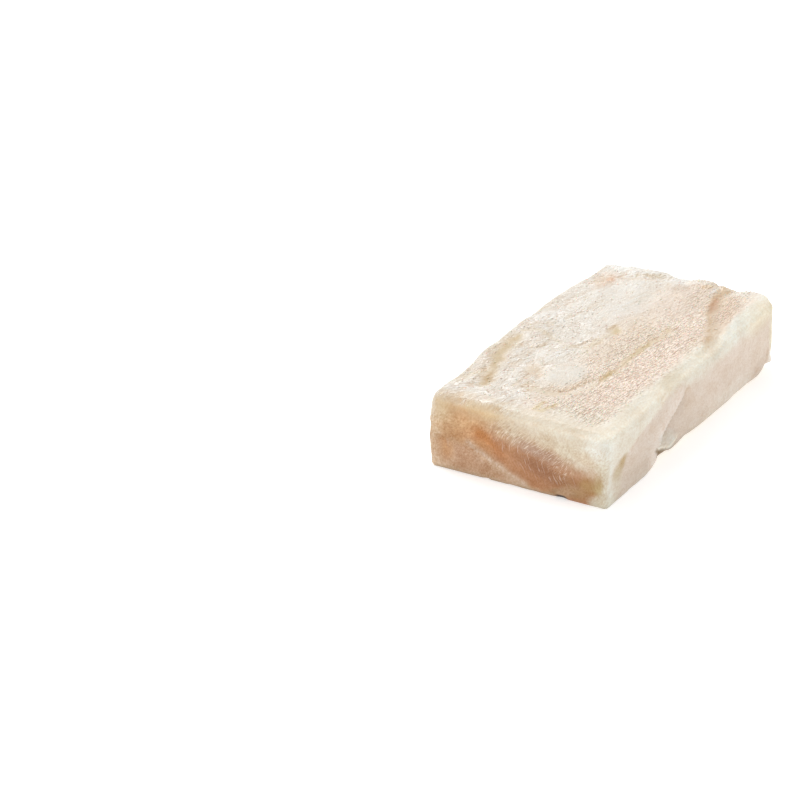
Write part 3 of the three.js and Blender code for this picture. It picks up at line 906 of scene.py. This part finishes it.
def relief_tree(material):
    """Beads and creased wrinkles on the top, crumpled plates under the frost, and uneven walls."""
    tree, given = new_geometry_tree("surface_relief", RELIEF)
    place = add_node(tree, "GeometryNodeInputPosition")

    def uneven(vector, shift, detail=0.0, roughness=0.5):
        """Noise about zero, with a shift of its own from the seed."""
        inputs = {"W": given["Seed"] + shift, "Scale": 1.0, "Detail": detail, "Roughness": roughness}
        return noise(vector, inputs, noise_dimensions="4D") - 0.5

    def sized(vector, size_name):
        return scaled(vector, 1.0 / given[size_name])

    def billows(vector):
        """Puffed cells with sharp creases between them, about 1 high, and finer cells on them."""
        broad = abs(uneven(vector, 1.0)) * 4.0
        fine = abs(uneven(scaled(vector, 2.13), 3.7)) * 2.0
        return broad + fine - 0.45

    def drawn_out(turn, stretch):
        """The place along and across a grain at minus that turn, with lengths cut by the stretch."""
        shares = combined(tree, given[stretch], 1.0, 1.0)
        return vector_maths("MULTIPLY", rotated(place, given[turn]), shares)

    def crumpled(turn, shift):
        return uneven(sized(drawn_out(turn, "Crumple Stretch"), "Crumple Size"), shift, 3.0)

    fine = billows(sized(drawn_out("Grain Turn", "Grain Stretch"), "Wrinkle Size"))
    wrinkles = fine * given["Wrinkle Height"] * named(tree, "top_share")
    plates = blend_value(named(tree, "cross_share"), crumpled("Grain Turn", 3.0), crumpled("Cross Turn", 5.0))
    relief = wrinkles + plates * given["Crumple Height"] * named(tree, "frost_share")
    wall_grain = uneven(sized(place, "Wrinkle Size"), 8.0, 4.0, 0.6) * given["Wall Grain Height"]
    rise = relief + wall_grain * named(tree, "wall_share")
    marked = stored(tree, given["Geometry"], "relief", relief.maths("DIVIDE", MM))
    offset = scaled(add_node(tree, "GeometryNodeInputNormal"), rise)
    raised = add_node(tree, "GeometryNodeSetPosition", {"Geometry": marked, "Offset": offset})
    finish_geometry_tree(tree, raised, material)
    return tree


def random_vector(tree, low, high, seed):
    inputs = {"Min": low, "Max": high, "Seed": seed}
    return add_node(tree, "FunctionNodeRandomValue", inputs, "Value", data_type="FLOAT_VECTOR")


def either_way(most):
    return tuple(-part for part in most), most


def scatter_grains(tree, points, size, shapes, most_turn, material):
    """Sets a low-faced lump at each point, with a random turn and shape of its own, and ends the tree."""
    grains = {
        "Points": points,
        "Instance": add_node(tree, "GeometryNodeMeshIcoSphere", {"Radius": 0.5, "Subdivisions": 1}),
        "Rotation": random_vector(tree, *either_way(most_turn), 11),
        "Scale": scaled(random_vector(tree, *shapes, 12), size),
    }
    finish_geometry_tree(tree, add_node(tree, "GeometryNodeInstanceOnPoints", grains), material)


FROST = {"Crystals per Square Metre": 0.17e6, "Crystal Size": 0.28 * MM, "Seed": 3}
CRYSTAL_SHAPES = ((0.6, 0.5, 0.4), (1.6, 1.2, 0.9))


def frost_tree(material):
    """Small ice crystals, scattered where the frost lies thickest."""
    tree, given = new_geometry_tree("frost_crystals", FROST)
    density = named(tree, "frost_density") * given["Crystals per Square Metre"]
    inputs = {"Mesh": given["Geometry"], "Density": density, "Seed": given["Seed"]}
    points = add_node(tree, "GeometryNodeDistributePointsOnFaces", inputs)
    scatter_grains(tree, points, given["Crystal Size"], CRYSTAL_SHAPES, (0.5, 0.5, 1), material)
    return tree


GRANULES = {
    "Row Spacing": 1.1 * MM,
    "Row Turn": math.radians(-9),
    "Row Wander": 2.4 * MM,
    "Granule Size": 0.6 * MM,
    "Seed": 5,
}
GRANULE_SHAPES = ((0.7, 0.6, 0.5), (1.7, 1.1, 0.8))
GRANULE_LOOSENESS = (0.5 * MM, 0.3 * MM, 0)
# The field of rows that the granules are dropped from: its length, its width and its height
ROW_FIELD = (130 * MM, 100 * MM, 60 * MM)
ROW_WANDER_SCALE = 90.0


def granule_tree(material):
    """Grains of flesh in wandering rows along the portion, dropped onto its granular part."""
    tree, given = new_geometry_tree("flesh_granules", GRANULES)
    drop = {"Target Geometry": given["Geometry"], "Ray Direction": (0, 0, -1), "Ray Length": 0.1}

    def below(name, kind):
        """A named attribute of the flesh straight below."""
        inputs = {**drop, "Attribute": named(tree, name, kind)}
        return add_node(tree, "GeometryNodeRaycast", inputs, "Attribute", data_type=kind)

    length, width, height = ROW_FIELD
    spacing = given["Row Spacing"]
    grid = {"Size X": length, "Size Y": width, "Vertices X": length / spacing, "Vertices Y": width / spacing}
    rows = {
        "Geometry": add_node(tree, "GeometryNodeMeshGrid", grid),
        "Translation": (0, 0, height),
        "Rotation": combined(tree, z=given["Row Turn"]),
    }
    points = add_node(tree, "GeometryNodeTransform", rows)
    wander = wandering(add_node(tree, "GeometryNodeInputPosition"), ROW_WANDER_SCALE)
    wander = vector_maths("MULTIPLY", wander, combined(tree, given["Row Wander"], given["Row Wander"]))
    loose = random_vector(tree, *either_way(GRANULE_LOOSENESS), 21)
    offset = vector_maths("ADD", wander, loose)
    points = add_node(tree, "GeometryNodeSetPosition", {"Geometry": points, "Offset": offset})
    points = stored(tree, points, "flesh_colour", below("flesh_colour", "FLOAT_COLOR"), "FLOAT_COLOR")
    chance = add_node(tree, "FunctionNodeRandomValue", {"Seed": given["Seed"]}, "Value", data_type="FLOAT")
    odds = {"A": below("granular_share", "FLOAT"), "B": chance}
    bare = add_node(tree, "FunctionNodeCompare", odds, data_type="FLOAT", operation="LESS_THAN")
    unwanted = {"Geometry": points, "Selection": bare}
    points = add_node(tree, "GeometryNodeDeleteGeometry", unwanted, domain="POINT")
    landing = add_node(tree, "GeometryNodeRaycast", drop, "Hit Position")
    points = add_node(tree, "GeometryNodeSetPosition", {"Geometry": points, "Position": landing})
    scatter_grains(tree, points, given["Granule Size"], GRANULE_SHAPES, (0.3, 0.3, 0.3), material)
    return tree


# Materials


def new_material(name):
    """A new material, its shader, and the place on the piece that its patterns start from."""
    material = bpy.data.materials.new(name)
    material.use_nodes = True
    tree = material.node_tree
    return material, tree.nodes["Principled BSDF"], add_node(tree, "ShaderNodeTexCoord", output="Object")


def attribute(tree, name, output="Fac"):
    return add_node(tree, "ShaderNodeAttribute", output=output, attribute_name=name)


def ramp(value, low, high, to_low, to_high):
    """The value brought from one range to another, and kept within it."""
    inputs = {"Value": value, "From Min": low, "From Max": high, "To Min": to_low, "To Max": to_high}
    return add_node(value.tree, "ShaderNodeMapRange", inputs)


def mixed(factor, base, colour, blend="MIX"):
    """base with a colour, given as #RRGGBB, laid over it by a factor."""
    inputs = {"Factor": factor, 6: base, 7: (*linear(colour), 1.0)}
    settings = {"data_type": "RGBA", "blend_type": blend, "clamp_factor": False}
    return add_node(factor.tree, "ShaderNodeMix", inputs, 2, **settings)


def stretched(vector, lengths):
    """The vector in units of those lengths in millimetres, one for each axis."""
    return vector_maths("MULTIPLY", vector, tuple(1 / (length * MM) for length in lengths))


def laid(vector, pattern):
    """The vector turned and measured as the pattern says."""
    degrees, axis, lengths = pattern
    return stretched(rotated(vector, math.radians(degrees), axis), lengths)


def unit_noise(vector, detail=2.0, roughness=0.55):
    """Noise with lumps of about one unit of the vector."""
    return noise(vector, {"Scale": 1.0, "Detail": detail, "Roughness": roughness})


def crease_lines(vector, width):
    """Thin creases where noise passes its middle, and the lip beside each of them: the creases get painted
    shade and the lips a painted highlight.
    """
    value = unit_noise(vector, 1.0) - 0.5
    crease = ramp(abs(value), 0.0, width, 1.0, 0.0)
    lip = ramp(abs(value - 1.9 * width), 0.0, 1.2 * width, 1.0, 0.0)
    return crease, lip


# Patterns of the flesh: a turn in degrees about an axis, and the lengths of one unit in millimetres
LONG_CREASES = (38, "Z_AXIS", (8.0, 2.2, 2.2))
SHORT_CREASES = (12, "Z_AXIS", (3.4, 0.9, 0.9))
BEAD_ROWS = (10, "Z_AXIS", (1.7, 0.56, 0.56))
GRIT = (-24, "X_AXIS", (0.9, 0.5, 0.7))
HAIRS = (14, "X_AXIS", (9.0, 0.32, 4.6))
FRAYED_FIBRES = (-38, "X_AXIS", (9.0, 0.3, 1.9))
MOTTLE_LENGTHS = (6.0, 6.0, 4.0)
FINE_GRAIN_LENGTHS = (0.7, 0.55, 0.55)
LONG_CREASE_WIDTH = 0.025
SHORT_CREASE_WIDTH = 0.04
SHORT_CREASE_SHARE = 0.4
# How far the grain wanders in millimetres, for all that is drawn out along it and for the beads
WANDER_SCALE = 70.0
WANDER_REACH = (6, 3)
FLESH_LIMIT = (0.97, 0.95, 0.93)


def flesh_material():
    """Frozen flesh: the painted colour under a satin, finely grained surface that lets light in."""
    material, shader, place = new_material("frozen_flesh")
    tree = place.tree
    skin = attribute(tree, "flesh_colour", "Color")
    relief = attribute(tree, "relief")
    names = ("top", "mottle", "frost", "granular", "fibre", "fringe", "away", "rim")
    share = {name: attribute(tree, name + "_share") for name in names}
    top, frost = share["top"], share["frost"]

    # The grain of the flesh wanders, so everything drawn out along it is bent, and the beads less so
    shift = wandering(place, WANDER_SCALE)
    bent, less_bent = (vector_maths("MULTIPLY_ADD", shift, (far * MM,) * 3, place) for far in WANDER_REACH)

    # Painted warm shade on slopes that the relief turns away from the key light and in the top's hollows, and
    # a painted highlight on the crests of the frosted skin
    skin = mixed(ramp(share["away"], 0.04, 0.4, 0.0, 1.0), skin, "#FFF1DE", "MULTIPLY")
    skin = mixed(ramp(relief, -0.16, 0.02, 0.9, 0.0), skin, "#FFF2E4", "MULTIPLY")
    skin = mixed(ramp(relief, -0.02, 0.2, 0.0, 0.25) * frost, skin, "#FFFDF8")

    # Creases of the frosted skin, long and short, each darkened with painted shade and with a painted
    # highlight on its lip
    long_crease, long_lip_highlight = crease_lines(laid(bent, LONG_CREASES), LONG_CREASE_WIDTH)
    short_crease, short_lip_highlight = crease_lines(laid(bent, SHORT_CREASES), SHORT_CREASE_WIDTH)
    crease = long_crease.maths("MAXIMUM", short_crease * SHORT_CREASE_SHARE) * frost
    lip = long_lip_highlight.maths("MAXIMUM", short_lip_highlight * SHORT_CREASE_SHARE) * (frost * 0.5)
    skin = mixed(crease, skin, "#E8DAD0", "MULTIPLY")
    skin = mixed(lip, skin, "#FFFEFB")

    # Beads of the granular part, in rows along the grain: a painted highlight on each bead's middle and
    # painted shade in the gaps between beads
    cells = {"Vector": laid(less_bent, BEAD_ROWS), "Scale": 1.0, "Randomness": 0.75}
    beads = add_node(tree, "ShaderNodeTexVoronoi", cells, "Distance", feature="F1")
    beaded = top * share["granular"].maths("MULTIPLY_ADD", 0.9, 0.1) * 0.9
    skin = scaled(skin, blend_value(beaded, 1.0, ramp(beads, 0.15, 0.5, 1.28, 1.0)))
    skin = mixed(beaded * ramp(beads, 0.42, 0.85, 0.0, 1.0), skin, "#D6C6B8", "MULTIPLY")

    # Walls are mottled, with pale hairs in the brown band, and its upper border is frayed
    mottle = unit_noise(stretched(place, MOTTLE_LENGTHS), 5.0, 0.7)
    grit = unit_noise(laid(bent, GRIT), 3.0, 0.7)
    dusk = ramp(mottle, 0.3, 0.7, 0.5, -0.5) + ramp(grit, 0.25, 0.75, 0.7, -0.7)
    skin = mixed(dusk * share["mottle"], skin, "#E3CFB6", "MULTIPLY")
    hair = unit_noise(laid(bent, HAIRS))
    skin = mixed(ramp(hair, 0.58, 0.74, 0.0, 0.65) * share["fibre"], skin, "#E9D3C4")
    frayed = unit_noise(laid(bent, FRAYED_FIBRES))
    skin = mixed(ramp(frayed, 0.52, 0.68, 0.0, 0.8) * share["fringe"], skin, "#E8D9C6")
    skin = mixed(ramp(frayed, 0.32, 0.47, 0.85, 0.0) * share["fringe"], skin, "#B08C72")

    # A fine grain roughens the surface, the beads stand up from it, and the creases cut into it
    fine = unit_noise(stretched(place, FINE_GRAIN_LENGTHS), 2.0, 0.6)
    height = fine - beads * blend_value(share["granular"], 0.35, 1.5) - crease * 0.4
    bump = {"Height": height, "Strength": top.maths("MULTIPLY_ADD", 0.45, 0.35), "Distance": 0.3 * MM}
    finish = {
        "Base Color": vector_maths("MINIMUM", skin, FLESH_LIMIT),
        "Roughness": ramp(fine, 0.35, 0.7, 0.46, 0.26).maths("MAXIMUM", share["rim"]),
        "Normal": add_node(tree, "ShaderNodeBump", bump),
        "Subsurface Weight": ramp(top, 0.0, 0.8, 0.3, 0.08),
        "Subsurface Radius": (1.5, 1.25, 1.0),
        "Subsurface Scale": 0.4 * MM,
        "IOR": 1.38,
    }
    fill(shader, finish)
    return material


GRAIN_PATCH_SCALE = 1300.0
GRAIN_PATCH_SPREAD = 0.3


def grain_material(name, pale, share):
    """Ice or flesh grains: the colour of the flesh below, paler by a share that varies between grains."""
    material, shader, place = new_material(name)
    below = attribute(place.tree, "flesh_colour", "Color")
    patchy = noise(place, {"Scale": GRAIN_PATCH_SCALE, "Detail": 1.0})
    cover = ramp(patchy, 0.35, 0.65, share - GRAIN_PATCH_SPREAD, share + GRAIN_PATCH_SPREAD)
    finish = {
        "Base Color": mixed(cover, below, pale),
        "Roughness": 0.25,
        "Subsurface Weight": 0.3,
        "Subsurface Scale": 0.3 * MM,
        "IOR": 1.31,
    }
    fill(shader, finish)
    return material


TABLE_WHITES = (0.77, 0.79)
TABLE_PATCH_SCALE = 60.0


def table_material():
    material, shader, place = new_material("pale_table")
    patchy = noise(place, {"Scale": TABLE_PATCH_SCALE, "Detail": 2.0})
    finish = {
        "Base Color": blend_value(patchy, *TABLE_WHITES),
        "Roughness": 0.6,
        # The table glows faintly of its own: painted light that keeps it white and lightens the shadows on it
        "Emission Color": (1, 1, 1, 1),
        "Emission Strength": 0.45,
    }
    fill(shader, finish)
    return material


# Pieces


def add_object(name, data):
    made = bpy.data.objects.new(name, data)
    bpy.context.scene.collection.objects.link(made)
    return made


def new_piece(name, points, faces):
    mesh = bpy.data.meshes.new(name)
    mesh.from_pydata(points.tolist(), [], faces)
    return add_object(name, mesh)


def store(mesh, name, values, kind="FLOAT"):
    layer = mesh.attributes.new(name, kind, "POINT")
    if kind == "FLOAT_COLOR":
        values = np.column_stack([values, np.ones(len(values))])
        layer.data.foreach_set("color", values.astype(np.float32).ravel())
    else:
        layer.data.foreach_set("value", values.astype(np.float32))


def calm_share(x, y):
    """Where the top is smooth: in the seams, the dimples and the tan patch, and on the plateau."""
    x, y = top_outline(x, y)
    seams = [
        0.9 * stripe(x, y, LEFT_GROOVE, 2.0),
        0.7 * stripe(x, y, PLATEAU_FOOT, 1.6),
        0.75 * stripe(x, y, MIDDLE_SEAM, 0.8),
        0.85 * stripe(x, y, BACK_GROOVE, 1.7),
    ]
    spots = [
        0.7 * ellipse(x, y, (-25, 10.5), (3.6, 4.0), -10),
        ellipse(x, y, (8.6, 2.3), (3.2, 1.9), 15),
        0.7 * ellipse(x, y, (-24.5, 1.2), (7, 6), 8),
    ]
    return np.max(seams + spots, axis=0)


def frost_share(x, y, z):
    """Where the torn, frosted skin of the top lies: the left half and the far margin."""
    patchy = lumps(x / 9, y / 5, z / 9, 80)
    left = smooth(-2, 8, y + 6 * patchy) * smooth(-54.5, -51, x + 3 * patchy)
    margin = 0.25 * smooth(44, 50, x) * smooth(-9, 0, y)
    calmer = mix(1, 0.7, smooth(-34, -14, x)) * (1 - 0.6 * ellipse(x, y, (28, 11), (18, 10), 0))
    return np.maximum(left, margin) * calmer


def cross_share(x, y):
    """Where the frosted skin is creased across the grain: round the middle of the left half."""
    x, y = top_outline(x, y)
    return ellipse(x, y, (-12, 9), (24, 15), -10, (0.5, 1.1))


def mottle_share(x, y, z, out, wall):
    """How strongly the walls and the cream edge are mottled: most on the near end wall."""
    near_end = smooth(0.3, 0.8, -out[:, 0]) * mix(0.45, mix(1.0, 1.5, smooth(0, 10, y)), smooth(20, 16, z))
    right = mix(0.65, 0.6, smooth(-30, 0, x)) * smooth(0.3, 0.8, -out[:, 1])
    rim = smooth(0.2, 0.5, out[:, 2])
    walls = wall * np.maximum.reduce([near_end, right, np.full(x.shape, 0.6)])
    return np.maximum.reduce([walls, 0.45 * (rim * smooth(-18, -23, y)), 0.4 * (rim * smooth(-47, -51, x))])


def granular_share(x, y, z):
    """Where the top is beaded with small grains: most of all between the middle seam and the right edge."""
    patchy = lumps(x / 11, y / 6, z / 9, 85)
    right = smooth(-25, -20, y + 3 * patchy) * smooth(-50, -42, x + 6 * patchy)
    share = right * mix(1.0, 0.2, smooth(-9, 5, y + 5 * patchy))
    return share * (1 - 0.55 * ellipse(x, y, (32, 4), (20, 18), 0))


def finish_shares(point, out):
    """How much of each finish every point has: the attributes that the trees and materials read."""
    x, y, z = point.T
    up = out[:, 2]
    over_rim = 0.25 * smooth(-8, 2, y) * smooth(-44, -50, x)
    upward = smooth(0, 1, (up - 0.55 + over_rim) / 0.4)
    ragged = 3 * lumps(x / 5, y / 3, z / 5, 95) + 2 * lumps(x / 1.8, y / 1.4, z / 2, 96)
    calm_margin = mix(7.0, 2.0, smooth(-14, 0, y))
    border, soft = cream_border(x)
    edge_calm = smooth(border - 1.6 * soft, border + 1.6 * soft, y + 0.7 * ragged)
    edge_calm = edge_calm * smooth(0, 1, (x + 53 + 4 * over_rim + ragged) / calm_margin)
    edge_calm = edge_calm * mix(1, 0.1, smooth(44, 49, x + 0.4 * ragged) * smooth(3, -3, y))
    upward_rough = upward * (1 - 0.85 * calm_share(x, y))
    top = upward_rough * mix(0.6, 1, edge_calm)
    frost = upward_rough * frost_share(x, y, z)
    wall = (1 - upward) * smooth(-0.9, -0.3, up) * smooth(0.1, 1.5, z)
    rim_frost = smooth(0.1, 0.35, up) * smooth(0.95, 0.6, up)
    on_near_end = smooth(0.6, 0.9, -out[:, 0])
    return {
        "top_share": top,
        "frost_share": frost,
        "wall_share": wall,
        "mottle_share": mottle_share(x, y, z, out, wall),
        "granular_share": upward_rough * granular_share(x, y, z),
        "cross_share": cross_share(x, y),
        "rim_share": 0.8 * smooth(0.15, 0.5, up) * smooth(0.995, 0.9, up),
        "fibre_share": on_near_end * ellipse(y, z, (-5, 9), (17, 5.5), 18, (0.4, 1.1)),
        "fringe_share": on_near_end * stripe(y, z, BAND_FRINGE, 3.0),
        "frost_density": 0.05 * top + 0.9 * frost + 0.25 * rim_frost,
    }


def mark_shaded_slopes(mesh, out):
    """Notes where the relief turns the surface away from the key light, for the painted warm shade that the
    flesh material lays there.
    """
    normals = np.empty(len(mesh.vertices) * 3, dtype=np.float32)
    mesh.vertex_normals.foreach_get("vector", normals)
    towards_key = np.array(LAMP_LIGHT[0][0])
    away = out @ towards_key - normals.reshape(-1, 3) @ towards_key
    store(mesh, "away_share", np.clip(away, 0, 1) * smooth(0.3, 0.7, out[:, 2]))


def make_portion(material):
    box_points, faces, rim = loaf_grid()
    point, out = shape_points(box_points)
    plain = len(point)
    point = base_rings(point, faces, rim)
    out = np.concatenate([out, np.tile([0.0, 0.0, -1.0], (len(point) - plain, 1))])
    middle = (point.min(0) + point.max(0)) / 2
    node_middle = np.array((node_low + node_high) / 2) / MM
    shift = np.array([*(node_middle - middle)[:2], node_low.z / MM - point[:, 2].min()])
    piece = new_piece("fish_portion", (point + shift) * MM, faces)
    store(piece.data, "flesh_colour", paint(point, out), "FLOAT_COLOR")
    for name, share in finish_shares(point, out).items():
        store(piece.data, name, share)
    run_geometry_tree(piece, relief_tree(material), RELIEF)
    mark_shaded_slopes(piece.data, out)
    return piece


def make_grains(portion, tree, inputs):
    piece = add_object(tree.name, portion.data.copy())
    run_geometry_tree(piece, tree, inputs)
    return piece


TABLE_HALF_WIDTH = 1.6


def make_table(material):
    corners = TABLE_HALF_WIDTH * np.array([(-1, -1, 0), (1, -1, 0), (1, 1, 0), (-1, 1, 0)])
    table = new_piece("table", corners, [(0, 1, 2, 3)])
    table.data.materials.append(material)


def point_at(thing, target):
    thing.rotation_euler = (Vector(target) - thing.location).to_track_quat("-Z", "Y").to_euler()


def make_camera():
    azimuth, elevation = math.radians(VIEW_AZIMUTH), math.radians(VIEW_ELEVATION)
    level = math.cos(elevation)
    back = np.array([math.sin(azimuth) * level, -math.cos(azimuth) * level, math.sin(elevation)])
    data = bpy.data.cameras.new("camera")
    data.lens = LENS_LENGTH
    data.sensor_width = SENSOR_WIDTH
    data.clip_start = 0.01
    camera = add_object("camera", data)
    target = np.array(VIEW_POINT) * MM
    camera.location = target + back * VIEW_DISTANCE * MM
    point_at(camera, target)
    bpy.context.scene.camera = camera


# Area lights: name, place in metres, width, power in watts, and colour
LIGHTS = (
    ("key", (0.4, 0.75, 0.93), 1.0, 15.5, (1.0, 0.99, 0.98)),
    ("front", (-0.7, -0.8, 0.6), 0.9, 1.3, (1.0, 0.99, 0.99)),
)
LIT_POINT = (0.0, 0.0, 0.01)


def make_lights():
    for name, place, width, power, colour in LIGHTS:
        data = bpy.data.lights.new(name, "AREA")
        data.size = width
        data.energy = power
        data.color = colour
        light = add_object(name, data)
        light.location = place
        point_at(light, LIT_POINT)
    world = bpy.data.worlds.new("studio")
    world.use_nodes = True
    fill(world.node_tree.nodes["Background"], {"Color": (1, 1, 1, 1), "Strength": SKY_LIGHT})
    bpy.context.scene.world = world
    bpy.context.scene.view_settings.view_transform = "Standard"


make_camera()
make_lights()
make_table(table_material())

portion = make_portion(flesh_material())
crystals = make_grains(portion, frost_tree(grain_material("frost_ice", "#FBFAF6", 0.7)), FROST)
granules = make_grains(portion, granule_tree(grain_material("granular_flesh", "#FAEAD8", 0.35)), GRANULES)

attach(portion, "root")
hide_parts("pollock_portion")
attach(crystals, "root")
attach(granules, "root")
